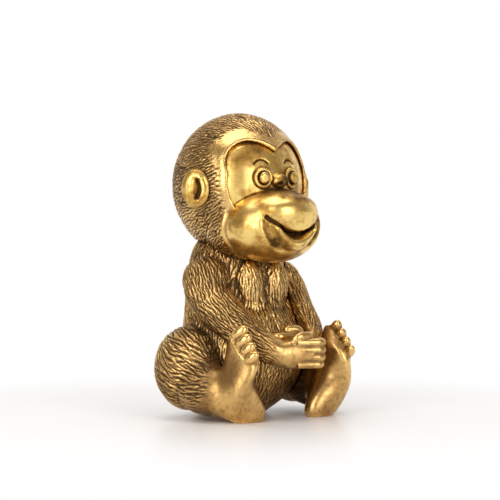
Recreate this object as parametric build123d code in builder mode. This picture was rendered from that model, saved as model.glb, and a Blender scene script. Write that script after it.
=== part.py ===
"""Seated baby monkey figurine, hollow-cast in brass in sections that are socketed and pinned together.

Millimetres, +Z up. The monkey faces -Y, its right side is -X, and it sits on the plane Z = 0.
"""

import os
from math import cos, radians, sin, sqrt, tan

from build123d import *

os.makedirs("parts", exist_ok=True)

# Shared by all the castings
wall = 3.0
overrun = 4.0
pin_fit = 0.05
dowel_diameter = 3.0
dowel_length = 12.0

# Fur, cut with a wheel-shaped gouge that leaves tapered strokes
fur_cut_depth = 1.1
gouge_diameter = 60.0
gouge_edge_depth = 6.0
gouge_edge_width = 13.0

# Torso
torso_height = 88.0
torso_width = 65.0
torso_depth = 57.0
chest_muscle_width = 16.0
chest_muscle_depth = 11.0
chest_muscle_height = 27.0
neck_diameter = 24.0
neck_spigot_length = 9.0

# Base
base_diameter = 26.0
base_setback = 5.0
base_thickness = 3.0
core_opening_diameter = 17.0
screw_diameter = 1.9
screw_head_diameter = 3.4
screw_length = 5.0
screw_slot_width = 0.7
screw_slot_depth = 0.7
screw_count = 4

# Head
head_width = 68.0
head_depth = 65.0
head_height = 72.0
head_lift = 26.5
head_setback = 1.0
head_front_wall = 8.0
head_floor = 5.5
jaw_width = 55.0
jaw_depth = 42.0
jaw_height = 42.0
jaw_blend = 6.0
neck_pin_diameter = 2.5
neck_pin_count = 3

# Face
face_width = 49.0
face_height = 39.0
face_recess = 1.5
face_thickness = 2.0
brow_length = 8.0
brow_width = 1.3
brow_arch = 1.2
brow_groove = 0.9
nose_width = 8.4
nose_depth = 9.0
nose_height = 7.2
nostril_diameter = 1.6
nostril_spacing = 3.6

# Eyes
eye_spacing = 18.0
eye_diameter = 6.4
eye_bulge = 2.8
eye_flat_diameter = 2.4
eye_seat = 1.0
eye_rim_diameter = 10.2
eye_rim_height = 1.0
eye_shank_diameter = 2.4
eye_shank_length = 5.5
eye_turn = 11.5

# Muzzle
muzzle_width = 52.0
muzzle_depth = 42.0
muzzle_height = 37.0
upper_lip_width = 38.0
upper_lip_depth = 31.0
upper_lip_height = 21.0
mouth_width = 33.0
mouth_sag = 8.0
mouth_opening = 5.0
mouth_depth = 7.0
lower_lip_width = 23.0
lower_lip_thickness = 4.0
lower_lip_sink = 0.7

# Ears
ear_width = 14.4
ear_height = 19.0
ear_thickness = 6.0
ear_turn = 51.0
ear_standoff = 0.5
ear_bowl_width = 8.6
ear_bowl_height = 12.4
ear_bowl_depth = 2.6
ear_tenon_diameter = 4.0
ear_tenon_length = 7.0

# Arms and hands
arm_thickness = 23.0
palm_length = 16.0
palm_width = 15.0
palm_thickness = 11.0
finger_length = 5.2
finger_thickness = 4.5
thumb_length = 5.8
thumb_thickness = 4.8
front_hand_turn = 24.0
rear_hand_turn = -4.0

# Legs and feet
thigh_width = 34.0
thigh_depth = 36.0
thigh_height = 42.0
shin_thickness = 28.0
foot_length = 56.0
foot_width = 23.0
foot_thickness = 25.0
foot_turn = 67.0
foot_recline = 18.0
foot_lean = 15.0
toe_slope = 37.0
toe_row_length = 20.0
toe_length = 4.8
toe_thickness = 7.2

# Widths, depths and forward shifts up the torso, as shares of its sizes: height, width, depth, shift
torso_shares = (
    (0.00, 0.48, 0.54, 0.090),
    (0.06, 0.68, 0.72, 0.070),
    (0.14, 0.87, 0.88, 0.025),
    (0.26, 0.99, 0.98, -0.020),
    (0.43, 1.00, 1.00, -0.044),
    (0.61, 0.93, 0.85, 0.000),
    (0.75, 0.87, 0.76, 0.035),
    (0.89, 0.78, 0.70, 0.052),
    (1.00, 0.58, 0.56, 0.062),
)

# Places as shares of the torso's half width, half depth and height
chest_muscle_shares = (0.25, -0.60, 0.735)

# Upper arms, as shares of the torso's half width and half depth and of the way from haunch to shoulders
front_arm_shares = ((-0.82, -0.21, 0.52), (-0.82, -0.36, 0.285), (-0.65, -0.67, 0.035))
rear_arm_shares = ((-0.66, -0.15, 0.45), (-0.71, -0.36, 0.255), (-0.66, -0.70, 0.035))
arm_taper_shares = (1.0, 0.96, 0.85, 0.72, 0.58)

# Forearms, legs and heels, as shares of the torso's half width and half depth and of the thigh's height
front_forearm_shares = ((-0.45, -1.05, 0.916), (-0.23, -1.37, 0.775))
rear_forearm_shares = ((-0.61, -1.00, 0.943), (-0.49, -1.17, 0.838))
thigh_shares = (-1.05, -0.07, 0.597)
shin_shares = ((-1.05, -0.35, 0.43), (-1.03, -0.82, 0.32), (-0.93, -1.12, 0.27))
shin_taper_shares = (1.0, 0.82, 0.62)
heel_shares = (-0.37, -1.26, 0.0)

# Rows of fur cuts on the head: angle back from the face, number of cuts, share of a step the row is turned by
head_fur_rows = ((77, 10, 0.75), (98, 12, 0.5), (119, 10, 0.0), (141, 6, 0.5))

# Rows of fur cuts on the torso: share of its height, first and last angle round it, number of cuts
torso_fur_rows = (
    (0.32, 40, 140, 5),
    (0.50, 25, 155, 6),
    (0.68, 35, 145, 5),
    (0.86, 30, 150, 5),
    (0.34, 248, 292, 3),
    (0.50, 240, 300, 3),
)

# Places on the head, as shares of its half width and half height or of the sizes named beside them
jaw_shares = (-0.34, -0.51)
face_drop_share = -0.48
heart_shares = (
    (0.0, 0.87),
    (0.13, 0.965),
    (0.26, 1.0),
    (0.43, 0.90),
    (0.5, 0.60),
    (0.45, 0.20),
    (0.3, 0.0),
)
brow_shares = (0.265, 0.345)
eye_height_share = 0.10
nose_height_share = 0.06
muzzle_shares = (-0.80, -0.555)
muzzle_dowel_share = 0.2
mouth_corner_share = 0.28
upper_lip_shares = (-0.38, 0.38)
ear_shares = (-0.27, -0.045)
ear_root_share = 0.2

# Hands and feet, as shares of their own sizes
joint_share = 1.04
digit_bend_share = 0.6
knuckle_share = 0.94
thumb_rise_share = 0.7
toe_curl_share = 1.2
finger_row_shares = (0.36, 0.12, -0.12, -0.35)
finger_taper_shares = (1.0, 1.0, 0.96, 0.86)
toe_taper_shares = (1.0, 0.84, 0.80, 0.76, 0.70)
foot_shares = (
    (0.02, 0.30, 0.44, -0.13, 0.0),
    (0.10, 0.54, 0.76, -0.02, 0.0),
    (0.28, 0.74, 0.94, -0.06, 0.1),
    (0.45, 0.90, 0.80, -0.10, 0.3),
    (0.62, 1.00, 0.52, 0.04, 0.6),
    (0.78, 0.95, 0.34, 0.00, 1.0),
)


def ellipsoid(centre, width, depth, height, turn=0):
    """Egg-shaped mass, turned about the vertical."""
    with BuildPart() as mass:
        Sphere(1)
        scale(by=(width / 2, depth / 2, height / 2))
    return mass.part.moved(Location(centre, (0, 0, turn)))


def oval(width, depth):
    """Ellipse in the current sketch that starts at the same place whichever axis is longer."""
    Circle(1)
    scale(by=(width / 2, depth / 2, 1))


def pin(centre, direction, diameter, length):
    """Round pin or bore along a direction."""
    with BuildPart() as rod:
        with Locations(Plane(origin=centre, z_dir=direction)):
            Cylinder(diameter / 2, length)
    return rod.part


def egg(start, end, thickness):
    """Plump segment, such as a finger joint or a toe, that reaches a little past two points."""
    length = (end - start).length + thickness
    with BuildPart() as mass:
        Sphere(1)
        scale(by=(thickness / 2, thickness / 2, length / 2))
    return mass.part.moved(Plane(origin=(start + end) / 2, z_dir=end - start).location)


def digit(route, thickness):
    """Bent finger of even thickness with a rounded tip."""
    with BuildPart() as form:
        with BuildLine() as bone:
            FilletPolyline(*route, radius=thickness * digit_bend_share)
        with BuildSketch(Plane(origin=bone.line @ 0, z_dir=bone.line % 0)):
            Circle(thickness / 2)
        sweep()
        with Locations(route[-1]):
            Sphere(thickness / 2)
    return form.part


def limb(route, thicknesses, end_direction):
    """Round limb lofted through the points of a route, ending square to a direction."""
    directions = [after - before for before, after in zip(route[:1] + route, route[1:])]
    directions.append(end_direction)
    with BuildPart() as form:
        for point, thickness, direction in zip(route, thicknesses, directions):
            along = direction.normalized()
            across = along.cross(Vector(1, 2, 3))
            with BuildSketch(Plane(origin=point, x_dir=across, z_dir=along)):
                Circle(thickness / 2)
        loft()
    return form.part


def by_torso(shares, bottom, top):
    """Point given by shares of the torso's half width and half depth and of the way between two levels."""
    level = bottom + shares[2] * (top - bottom)
    return Vector(shares[0] * torso_width / 2, shares[1] * torso_depth / 2, level)


def mirrored(point):
    """The same point on the other side of the body."""
    return Vector(-point.X, point.Y, point.Z)


def way_out(form, start, direction):
    """Point and outward normal where a line from inside a form leaves it."""
    hits = form.find_intersection_points(Axis(start, direction))
    point, normal = max(hits, key=lambda hit: (hit[0] - start).dot(direction))
    if normal.dot(direction) < 0:
        normal = -normal
    return point, normal


def fur_cut(form, start, direction, flow):
    """Gouge set to a form where a line from inside leaves it, with its edge along the fur."""
    point, normal = way_out(form, start, direction)
    radius = gouge_diameter / 2
    with BuildPart() as gouge:
        with BuildSketch(Plane.XZ):
            Polygon(
                (0, -gouge_edge_width / 2),
                (radius - gouge_edge_depth, -gouge_edge_width / 2),
                (radius, 0),
                (radius - gouge_edge_depth, gouge_edge_width / 2),
                (0, gouge_edge_width / 2),
                align=None,
            )
        revolve(axis=Axis.Z)
    centre = point + normal * (radius - fur_cut_depth)
    return gouge.part.moved(Plane(origin=centre, x_dir=normal, z_dir=normal.cross(flow)).location)


def torso_loft(stations, inset):
    """Pear-shaped body through the given stations, drawn in by an inset on all sides."""
    with BuildPart() as body:
        for height, width, depth, shift in stations:
            level = min(height * torso_height, torso_height - inset)
            with BuildSketch(Plane.XY.offset(level).move(Location((0, shift * torso_depth, 0)))):
                oval(width * torso_width - 2 * inset, depth * torso_depth - 2 * inset)
        loft()
    return body.part


# Torso: pear-shaped hollow casting with two chest muscles, a neck spigot and an opening under the rump
neck_centre = Vector(0, torso_shares[-1][3] * torso_depth, torso_height)
base_centre = Vector(0, base_setback, 0)
chest_muscle_centre = by_torso(chest_muscle_shares, 0, torso_height)

with BuildPart() as torso_form:
    add(torso_loft(torso_shares, 0))
    for centre in (chest_muscle_centre, mirrored(chest_muscle_centre)):
        add(ellipsoid(centre, chest_muscle_width, chest_muscle_depth, chest_muscle_height))

torso_outer = torso_form.part
torso_cavity = torso_loft(torso_shares[1:], wall)


# Limb routes, worked out before the castings because each seat needs both of its pieces
thigh_centre = by_torso(thigh_shares, 0, thigh_height)
haunch_top = thigh_centre.Z + thigh_height / 2


def arm_route(arm_shares, forearm_shares):
    upper = [by_torso(shares, haunch_top, torso_height) for shares in arm_shares]
    return upper + [by_torso(shares, 0, thigh_height) for shares in forearm_shares]


right_route = arm_route(front_arm_shares, front_forearm_shares)
left_route = [mirrored(point) for point in arm_route(rear_arm_shares, rear_forearm_shares)]
arm_thicknesses = [arm_thickness * share for share in arm_taper_shares]


# Head masses: a round skull and a wide jaw, blended
skull_centre = Vector(0, head_setback, torso_height + head_lift)
jaw_centre = skull_centre + Vector(0, jaw_shares[0] * head_depth / 2, jaw_shares[1] * head_height / 2)


def skull(inset):
    """The skull drawn in by an inset on all sides."""
    return ellipsoid(skull_centre, head_width - 2 * inset, head_depth - 2 * inset, head_height - 2 * inset)


def skull_front(x, z, inset):
    """Y of the front of the drawn-in skull."""
    side = x / (head_width / 2 - inset)
    rise = (z - skull_centre.Z) / (head_height / 2 - inset)
    return skull_centre.Y - (head_depth / 2 - inset) * sqrt(1 - side**2 - rise**2)


with BuildPart() as head_form:
    add(skull(0))
    add(ellipsoid(jaw_centre, jaw_width, jaw_depth, jaw_height))
    crease = head_form.edges().sort_by(lambda edge: edge.center().Y)[0]
    fillet(crease, radius=jaw_blend)

head_outer = head_form.part


# Face: a heart-shaped plate let into the front of the skull, a little below its surface
face_bottom = skull_centre.Z + face_drop_share * head_height / 2
heart = [Vector(x * face_width, face_bottom + z * face_height) for x, z in heart_shares]
heart_left = [Vector(-point.X, point.Y) for point in heart]

with BuildPart() as heart_prism:
    with BuildSketch(Plane.XZ):
        with BuildLine():
            ThreePointArc(heart[0], heart[1], heart[2])
            ThreePointArc(heart[2], heart[3], heart[4])
            ThreePointArc(heart[4], heart[5], heart[6])
            Line(heart[6], heart_left[6])
            ThreePointArc(heart_left[6], heart_left[5], heart_left[4])
            ThreePointArc(heart_left[4], heart_left[3], heart_left[2])
            ThreePointArc(heart_left[2], heart_left[1], heart_left[0])
        make_face()
    extrude(amount=head_depth)

with BuildPart() as face_pocket:
    add(heart_prism.part)
    add(skull(face_recess + face_thickness), mode=Mode.SUBTRACT)

# Eyes: turned studs, each on an axis that looks slightly outwards
eye_level = skull_centre.Z + eye_height_share * head_height / 2


def eye_plane(side):
    """Plane on the face at the centre of one eye, its normal looking out."""
    x = side * eye_spacing / 2
    centre = (x, skull_front(x, eye_level, face_recess), eye_level)
    look = (side * sin(radians(eye_turn)), -cos(radians(eye_turn)), 0)
    return Plane(origin=centre, x_dir=(0, 0, 1), z_dir=look)


def eye_stud(side):
    """Domed stud with a flat polished tip and a shank that goes through the face into the head."""
    radius = eye_diameter / 2
    shank = eye_shank_diameter / 2
    shank_end = -eye_seat - eye_shank_length
    with BuildPart() as stud:
        with BuildSketch(Plane.XZ):
            with BuildLine():
                Line((0, shank_end), (shank, shank_end))
                Line((shank, shank_end), (shank, -eye_seat))
                Line((shank, -eye_seat), (radius, -eye_seat))
                Line((radius, -eye_seat), (radius, 0))
                Bezier((radius, 0), (radius, eye_bulge), (eye_flat_diameter / 2, eye_bulge))
                Line((eye_flat_diameter / 2, eye_bulge), (0, eye_bulge))
                Line((0, eye_bulge), (0, shank_end))
            make_face()
        revolve(axis=Axis.Z)
    return stud.part.moved(eye_plane(side).location)


def eye_socket(side):
    """Bore that takes the stud, with its clearance."""
    reach = eye_seat + eye_shank_length + pin_fit
    with BuildPart() as bore:
        with Locations((0, 0, -reach / 2)):
            Cylinder(eye_shank_diameter / 2 + pin_fit, reach)
        with Locations((0, 0, (overrun - eye_seat) / 2)):
            Cylinder(eye_diameter / 2 + pin_fit, overrun + eye_seat)
    return bore.part.moved(eye_plane(side).location)


with BuildPart() as right_eye:
    add(eye_stud(-1))
right_eye.part.label = "right_eye"
export_step(right_eye.part, "parts/right_eye.step")

with BuildPart() as left_eye:
    add(eye_stud(1))
left_eye.part.label = "left_eye"
export_step(left_eye.part, "parts/left_eye.step")

eye_sockets = [eye_socket(-1), eye_socket(1)]


# Face plate with raised eye rims, a small nose and two incised brows
nose_level = skull_centre.Z + nose_height_share * head_height / 2
nose_centre = Vector(0, skull_front(0, nose_level, face_recess), nose_level)
nostril_level = nose_level - nose_height / 4


def brow_cutter(side):
    """Short arched groove of even depth above one eye."""
    x = side * brow_shares[0] * head_width / 2
    z = skull_centre.Z + brow_shares[1] * head_height / 2
    half = brow_length / 2
    arch = Edge.make_three_point_arc((x - half, z - brow_arch), (x, z), (x + half, z - brow_arch))
    with BuildPart() as groove:
        with BuildSketch(Plane.XZ):
            SlotArc(arch, brow_width)
        extrude(amount=head_depth)
        add(skull(face_recess + brow_groove), mode=Mode.SUBTRACT)
    return groove.part


with BuildPart() as face_plate:
    add(heart_prism.part)
    add(skull(face_recess), mode=Mode.INTERSECT)
    for side in (-1, 1):
        with Locations(eye_plane(side)):
            Cylinder(eye_rim_diameter / 2, 2 * eye_rim_height)
    add(ellipsoid(nose_centre, nose_width, nose_depth, nose_height))
    add(skull(face_recess + face_thickness), mode=Mode.SUBTRACT)
    for side in (-1, 1):
        add(brow_cutter(side), mode=Mode.SUBTRACT)
        with Locations((side * nostril_spacing / 2, nose_centre.Y - nose_depth / 2, nostril_level)):
            Cylinder(nostril_diameter / 2, nose_depth / 2, rotation=(90, 0, 0), mode=Mode.SUBTRACT)
    for socket in eye_sockets:
        add(socket, mode=Mode.SUBTRACT)
face_plate.part.label = "face_plate"
export_step(face_plate.part, "parts/face_plate.step")


# Muzzle: full cheeks and an upper lip that overhangs an open smile, seated on the jaw and the face plate
muzzle_centre = skull_centre + Vector(
    0, muzzle_shares[0] * head_depth / 2, muzzle_shares[1] * head_height / 2
)
upper_lip_centre = muzzle_centre + Vector(
    0, upper_lip_shares[0] * muzzle_depth / 2, upper_lip_shares[1] * muzzle_height / 2
)


def muzzle_front(x, z):
    """Y of the front of the cheeks."""
    side = x / (muzzle_width / 2)
    rise = (z - muzzle_centre.Z) / (muzzle_height / 2)
    return muzzle_centre.Y - muzzle_depth / 2 * sqrt(1 - side**2 - rise**2)


mouth_corner_level = muzzle_centre.Z + mouth_corner_share * muzzle_height / 2
mouth_top_level = mouth_corner_level - mouth_sag
mouth_bottom_level = mouth_top_level - mouth_opening
mouth_corners = ((-mouth_width / 2, mouth_corner_level), (mouth_width / 2, mouth_corner_level))
mouth_back = -muzzle_front(0, mouth_top_level) - mouth_depth
lip_level = mouth_bottom_level - lower_lip_thickness / 2
lip_end_level = mouth_corner_level - mouth_opening - lower_lip_thickness / 2
lip_end_y = muzzle_front(lower_lip_width / 2, lip_end_level) + lower_lip_sink

with BuildPart() as lower_lip:
    with BuildLine() as lip_line:
        ThreePointArc(
            (-lower_lip_width / 2, lip_end_y, lip_end_level),
            (0, muzzle_front(0, lip_level) + lower_lip_sink, lip_level),
            (lower_lip_width / 2, lip_end_y, lip_end_level),
        )
    with BuildSketch(Plane(origin=lip_line.line @ 0, z_dir=lip_line.line % 0)):
        Circle(lower_lip_thickness / 2)
    sweep()
    for end in (lip_line.line @ 0, lip_line.line @ 1):
        with Locations(end):
            Sphere(lower_lip_thickness / 2 * joint_share)

with BuildPart() as muzzle_seat:
    add(head_outer)
    add(face_pocket.part, mode=Mode.SUBTRACT)

muzzle_dowel_level = muzzle_centre.Z
muzzle_dowel_y = -jaw_depth / 2 + jaw_centre.Y


def muzzle_dowel(side, fit):
    centre = (side * muzzle_width * muzzle_dowel_share, muzzle_dowel_y, muzzle_dowel_level)
    return pin(centre, (0, 1, 0), dowel_diameter + 2 * fit, dowel_length + 2 * fit)


with BuildPart() as muzzle:
    add(ellipsoid(muzzle_centre, muzzle_width, muzzle_depth, muzzle_height))
    add(ellipsoid(upper_lip_centre, upper_lip_width, upper_lip_depth, upper_lip_height))
    with BuildSketch(Plane.XZ.offset(mouth_back)):
        with BuildLine():
            ThreePointArc(mouth_corners[0], (0, mouth_top_level), mouth_corners[1])
            ThreePointArc(mouth_corners[1], (0, mouth_bottom_level), mouth_corners[0])
        make_face()
    extrude(amount=muzzle_depth, mode=Mode.SUBTRACT)
    add(lower_lip.part)
    add(muzzle_seat.part, mode=Mode.SUBTRACT)
    add(face_plate.part, mode=Mode.SUBTRACT)
    for side in (-1, 1):
        add(muzzle_dowel(side, pin_fit), mode=Mode.SUBTRACT)
muzzle.part.label = "muzzle"
export_step(muzzle.part, "parts/muzzle.step")

with BuildPart() as muzzle_dowels:
    for side in (-1, 1):
        add(muzzle_dowel(side, 0))
muzzle_dowels.part.label = "muzzle_dowels"
export_step(muzzle_dowels.part, "parts/muzzle_dowels.step")


# Ears: cupped discs that flare out from the sides of the head, each with a tenon through its wall
ear_centre = skull_centre + Vector(
    -head_width / 2 - ear_standoff, ear_shares[0] * head_depth / 2, ear_shares[1] * head_height / 2
)
ear_facing = Vector(-sin(radians(ear_turn)), -cos(radians(ear_turn)), 0)
ear_across = Vector(-cos(radians(ear_turn)), sin(radians(ear_turn)), 0)
ear_root = ear_centre - ear_across * (ear_width * ear_root_share) + Vector(ear_thickness / 4, 0, 0)


def ear_tenon(fit):
    """Round tenon from the root of the right ear through the wall of the head."""
    return pin(ear_root, (1, 0, 0), ear_tenon_diameter + 2 * fit, 2 * ear_tenon_length)


def ear_disc(centre, width, height, thickness):
    """Flat egg that stands in the plane of the right ear."""
    with BuildPart() as disc:
        Sphere(1)
        scale(by=(width / 2, height / 2, thickness / 2))
    return disc.part.moved(Plane(origin=centre, x_dir=ear_across, z_dir=ear_facing).location)


with BuildPart() as right_ear:
    add(ear_disc(ear_centre, ear_width, ear_height, ear_thickness))
    bowl_centre = ear_centre + ear_facing * (ear_thickness / 2)
    add(ear_disc(bowl_centre, ear_bowl_width, ear_bowl_height, 2 * ear_bowl_depth), mode=Mode.SUBTRACT)
    add(head_outer, mode=Mode.SUBTRACT)
    with Locations(Plane(origin=ear_root, z_dir=(1, 0, 0))):
        Cylinder(ear_tenon_diameter / 2, ear_tenon_length, align=(Align.CENTER, Align.CENTER, Align.MIN))
right_ear.part.label = "right_ear"
export_step(right_ear.part, "parts/right_ear.step")

with BuildPart() as left_ear:
    mirror(right_ear.part, about=Plane.YZ)
left_ear.part.label = "left_ear"
export_step(left_ear.part, "parts/left_ear.step")


# Neck pins: radial pins through the head's collar into the neck spigot, filed flush with the fur
neck_pin_level = torso_height + head_floor / 2
neck_pin_inner = neck_diameter / 2 - wall


def neck_pin_rod(index, fit):
    angle = radians(90 + index * 360 / neck_pin_count)
    outward = Vector(cos(angle), sin(angle), 0)
    start = Vector(neck_centre.X, neck_centre.Y, neck_pin_level) + outward * neck_pin_inner
    return pin(start + outward * (head_width / 4), outward, neck_pin_diameter + 2 * fit, head_width / 2)


with BuildPart() as neck_pins:
    for index in range(neck_pin_count):
        add(neck_pin_rod(index, 0))
    add(head_outer, mode=Mode.INTERSECT)
neck_pins.part.label = "neck_pins"
export_step(neck_pins.part, "parts/neck_pins.step")


# Head shell: hollow, with the face pocket in front and a collar that sits on the shoulders round the spigot
cavity_bottom = torso_height + head_floor
cavity_top = skull_centre.Z + head_height / 2 - wall
cavity_front = skull_centre.Y - head_depth / 2 + head_front_wall
cavity_back = skull_centre.Y + head_depth / 2 - wall
cavity_width = head_width - 3 * wall
cavity_depth = cavity_back - cavity_front
cavity_height = cavity_top - cavity_bottom
cavity_centre = Vector(0, (cavity_front + cavity_back) / 2, (cavity_bottom + cavity_top) / 2)

head_fur = []
for angle, count, turned_share in head_fur_rows:
    for index in range(count):
        round_face = radians((index + turned_share) * 360 / count)
        spread = sin(radians(angle))
        ray = Vector(spread * cos(round_face), -cos(radians(angle)), spread * sin(round_face))
        if skull_centre.Z + ray.Z * head_height / 2 > cavity_bottom:
            head_fur.append(fur_cut(head_outer, skull_centre, ray, Vector(0, 1, 0)))

with BuildPart() as head_shell:
    add(head_outer)
    add(torso_outer, mode=Mode.SUBTRACT)
    with Locations(neck_centre):
        Cylinder(
            neck_diameter / 2 + pin_fit,
            neck_spigot_length,
            align=(Align.CENTER, Align.CENTER, Align.MIN),
            mode=Mode.SUBTRACT,
        )
    add(ellipsoid(cavity_centre, cavity_width, cavity_depth, cavity_height), mode=Mode.SUBTRACT)
    add(face_pocket.part, mode=Mode.SUBTRACT)
    for socket in eye_sockets:
        add(socket, mode=Mode.SUBTRACT)
    for side in (-1, 1):
        add(muzzle_dowel(side, pin_fit), mode=Mode.SUBTRACT)
    add(ear_tenon(pin_fit), mode=Mode.SUBTRACT)
    add(mirror(ear_tenon(pin_fit), about=Plane.YZ, mode=Mode.PRIVATE), mode=Mode.SUBTRACT)
    for index in range(neck_pin_count):
        add(neck_pin_rod(index, pin_fit), mode=Mode.SUBTRACT)
    add(head_fur, mode=Mode.SUBTRACT)
head_shell.part.label = "head_shell"
export_step(head_shell.part, "parts/head_shell.step")


# Base plate and its countersunk screws: they close the core opening under the rump
screw_circle_radius = (base_diameter + core_opening_diameter) / 4


def screw_rod(angle, fit):
    """One countersunk screw, or its hole when it has a fit."""
    head = screw_head_diameter / 2 + fit
    shank = screw_diameter / 2 + fit
    spread = Vector(cos(radians(angle)), sin(radians(angle)), 0) * screw_circle_radius
    with BuildPart() as screw:
        with BuildSketch(Plane.XZ):
            Polygon(
                (0, 0),
                (head, 0),
                (shank, head - shank),
                (shank, screw_length),
                (0, screw_length),
                align=None,
            )
        revolve(axis=Axis.Z)
        if fit == 0:
            Box(
                screw_head_diameter,
                screw_slot_width,
                screw_slot_depth,
                align=(Align.CENTER, Align.CENTER, Align.MIN),
                mode=Mode.SUBTRACT,
            )
    return screw.part.moved(Location(base_centre + spread))


screw_angles = [45 + index * 360 / screw_count for index in range(screw_count)]

with BuildPart() as base_plate:
    with Locations(base_centre):
        Cylinder(base_diameter / 2, base_thickness, align=(Align.CENTER, Align.CENTER, Align.MIN))
    for angle in screw_angles:
        add(screw_rod(angle, pin_fit), mode=Mode.SUBTRACT)
base_plate.part.label = "base_plate"
export_step(base_plate.part, "parts/base_plate.step")

with BuildPart() as base_screws:
    for angle in screw_angles:
        add(screw_rod(angle, 0))
base_screws.part.label = "base_screws"
export_step(base_screws.part, "parts/base_screws.step")


# Dowels that locate the limbs
def joint_dowel(centre, direction, fit):
    return pin(centre, direction, dowel_diameter + 2 * fit, dowel_length + 2 * fit)


def outward_from_torso(point):
    """Level direction from the torso's axis to a point on a limb."""
    return Vector(point.X, point.Y, 0).normalized()


def shoulder_seat(shoulder):
    """Point on the torso's surface outside which a shoulder lies."""
    return way_out(torso_outer, Vector(0, 0, shoulder.Z), outward_from_torso(shoulder))[0]


shoulder_seats = [shoulder_seat(right_route[0]), shoulder_seat(left_route[0])]
hip_seat = Vector(-torso_width / 2, thigh_centre.Y, thigh_centre.Z)
hip_seats = [hip_seat, mirrored(hip_seat)]


def shoulder_dowel(seat, fit):
    return joint_dowel(seat - outward_from_torso(seat) * wall, outward_from_torso(seat), fit)


def hip_dowel(seat, fit):
    return joint_dowel(seat, (1, 0, 0), fit)


with BuildPart() as shoulder_dowels:
    for seat in shoulder_seats:
        add(shoulder_dowel(seat, 0))
shoulder_dowels.part.label = "shoulder_dowels"
export_step(shoulder_dowels.part, "parts/shoulder_dowels.step")

with BuildPart() as hip_dowels:
    for seat in hip_seats:
        add(hip_dowel(seat, 0))
hip_dowels.part.label = "hip_dowels"
export_step(hip_dowels.part, "parts/hip_dowels.step")


# Torso shell, with the fur cut where no limb lies on it
torso_fur = []
for height_share, first_angle, last_angle, count in torso_fur_rows:
    start = Vector(0, 0, height_share * torso_height)
    for index in range(count):
        angle = radians(first_angle + index * (last_angle - first_angle) / (count - 1))
        torso_fur.append(fur_cut(torso_outer, start, Vector(cos(angle), sin(angle), 0), Vector(0, 0, 1)))

with BuildPart() as torso_shell:
    add(torso_outer)
    add(torso_cavity, mode=Mode.SUBTRACT)
    with Locations(neck_centre):
        Cylinder(neck_diameter / 2, neck_spigot_length, align=(Align.CENTER, Align.CENTER, Align.MIN))
        Cylinder(neck_diameter / 2 - wall, 2 * neck_spigot_length, mode=Mode.SUBTRACT)
    with Locations(base_centre):
        Cylinder(
            base_diameter / 2 + pin_fit,
            base_thickness,
            align=(Align.CENTER, Align.CENTER, Align.MIN),
            mode=Mode.SUBTRACT,
        )
        Cylinder(
            core_opening_diameter / 2,
            torso_height / 4,
            align=(Align.CENTER, Align.CENTER, Align.MIN),
            mode=Mode.SUBTRACT,
        )
    for angle in screw_angles:
        add(screw_rod(angle, pin_fit), mode=Mode.SUBTRACT)
    for seat in shoulder_seats:
        add(shoulder_dowel(seat, pin_fit), mode=Mode.SUBTRACT)
    for seat in hip_seats:
        add(hip_dowel(seat, pin_fit), mode=Mode.SUBTRACT)
    for index in range(neck_pin_count):
        add(neck_pin_rod(index, pin_fit), mode=Mode.SUBTRACT)
    add(torso_fur, mode=Mode.SUBTRACT)
torso_shell.part.label = "torso_shell"
export_step(torso_shell.part, "parts/torso_shell.step")


# Hands: a palm that starts at the wrist, four curled fingers one above the other and a thumb on top
def hand_plane(wrist, side, turn):
    """Plane at the wrist: X reaches along the hand, Y is the palm side, Z crosses the fingers."""
    reach = (side * cos(radians(turn)), -sin(radians(turn)), 0)
    return Plane(origin=wrist, x_dir=reach, z_dir=(0, 0, 1))


def hand(wrist_thickness):
    """Hand in its own frame, with the wrist at the origin."""
    with BuildPart() as form:
        for x, width, thickness in (
            (0, wrist_thickness, wrist_thickness),
            (palm_length / 2, palm_width, palm_thickness),
            (palm_length, palm_width * knuckle_share, palm_thickness * knuckle_share),
        ):
            with BuildSketch(Plane(origin=(x, 0, 0), x_dir=(0, 0, 1), z_dir=(1, 0, 0))):
                oval(width, thickness)
        loft()
        back = -(palm_thickness - finger_thickness) / 2 * knuckle_share
        for row, taper in zip(finger_row_shares, finger_taper_shares):
            reach = palm_length + finger_length * taper
            knuckle = Vector(palm_length / 2, back, row * palm_width)
            bend = Vector(reach, back, row * palm_width)
            tip = Vector(reach, back + finger_length * taper, row * palm_width)
            add(digit((knuckle, bend, tip), finger_thickness * taper))
        top = (palm_width - thumb_thickness) / 2
        rise = top + thumb_thickness * thumb_rise_share
        thumb_root = Vector(palm_length / 4, 0, 0)
        thumb_bend = Vector(palm_length / 2, back, rise)
        thumb_tip = Vector(palm_length / 2 + thumb_length, back / 2, rise)
        add(digit((thumb_root, thumb_bend, thumb_tip), thumb_thickness))
        with Locations(Plane.YZ):
            Cylinder(dowel_diameter / 2 + pin_fit, dowel_length + 2 * pin_fit, mode=Mode.SUBTRACT)
    return form.part


wrist_thickness = arm_thicknesses[-1]
right_hand_plane = hand_plane(right_route[-1], 1, front_hand_turn)
left_hand_plane = hand_plane(left_route[-1], -1, rear_hand_turn)


def wrist_dowel(plane, fit):
    return joint_dowel(plane.origin, plane.x_dir, fit)


with BuildPart() as wrist_dowels:
    for plane in (right_hand_plane, left_hand_plane):
        add(wrist_dowel(plane, 0))
wrist_dowels.part.label = "wrist_dowels"
export_step(wrist_dowels.part, "parts/wrist_dowels.step")


# Arms: each rests on the torso, bends at the elbow and ends square at the wrist
def arm_form(route, plane):
    with BuildPart() as form:
        add(limb(route, arm_thicknesses, plane.x_dir))
        with Locations(route[0]):
            Sphere(arm_thicknesses[0] / 2 * joint_share)
        split(bisect_by=Plane(origin=plane.origin, z_dir=plane.x_dir), keep=Keep.BOTTOM)
        add(torso_outer, mode=Mode.SUBTRACT)
        add(head_outer, mode=Mode.SUBTRACT)
    return form.part


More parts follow.
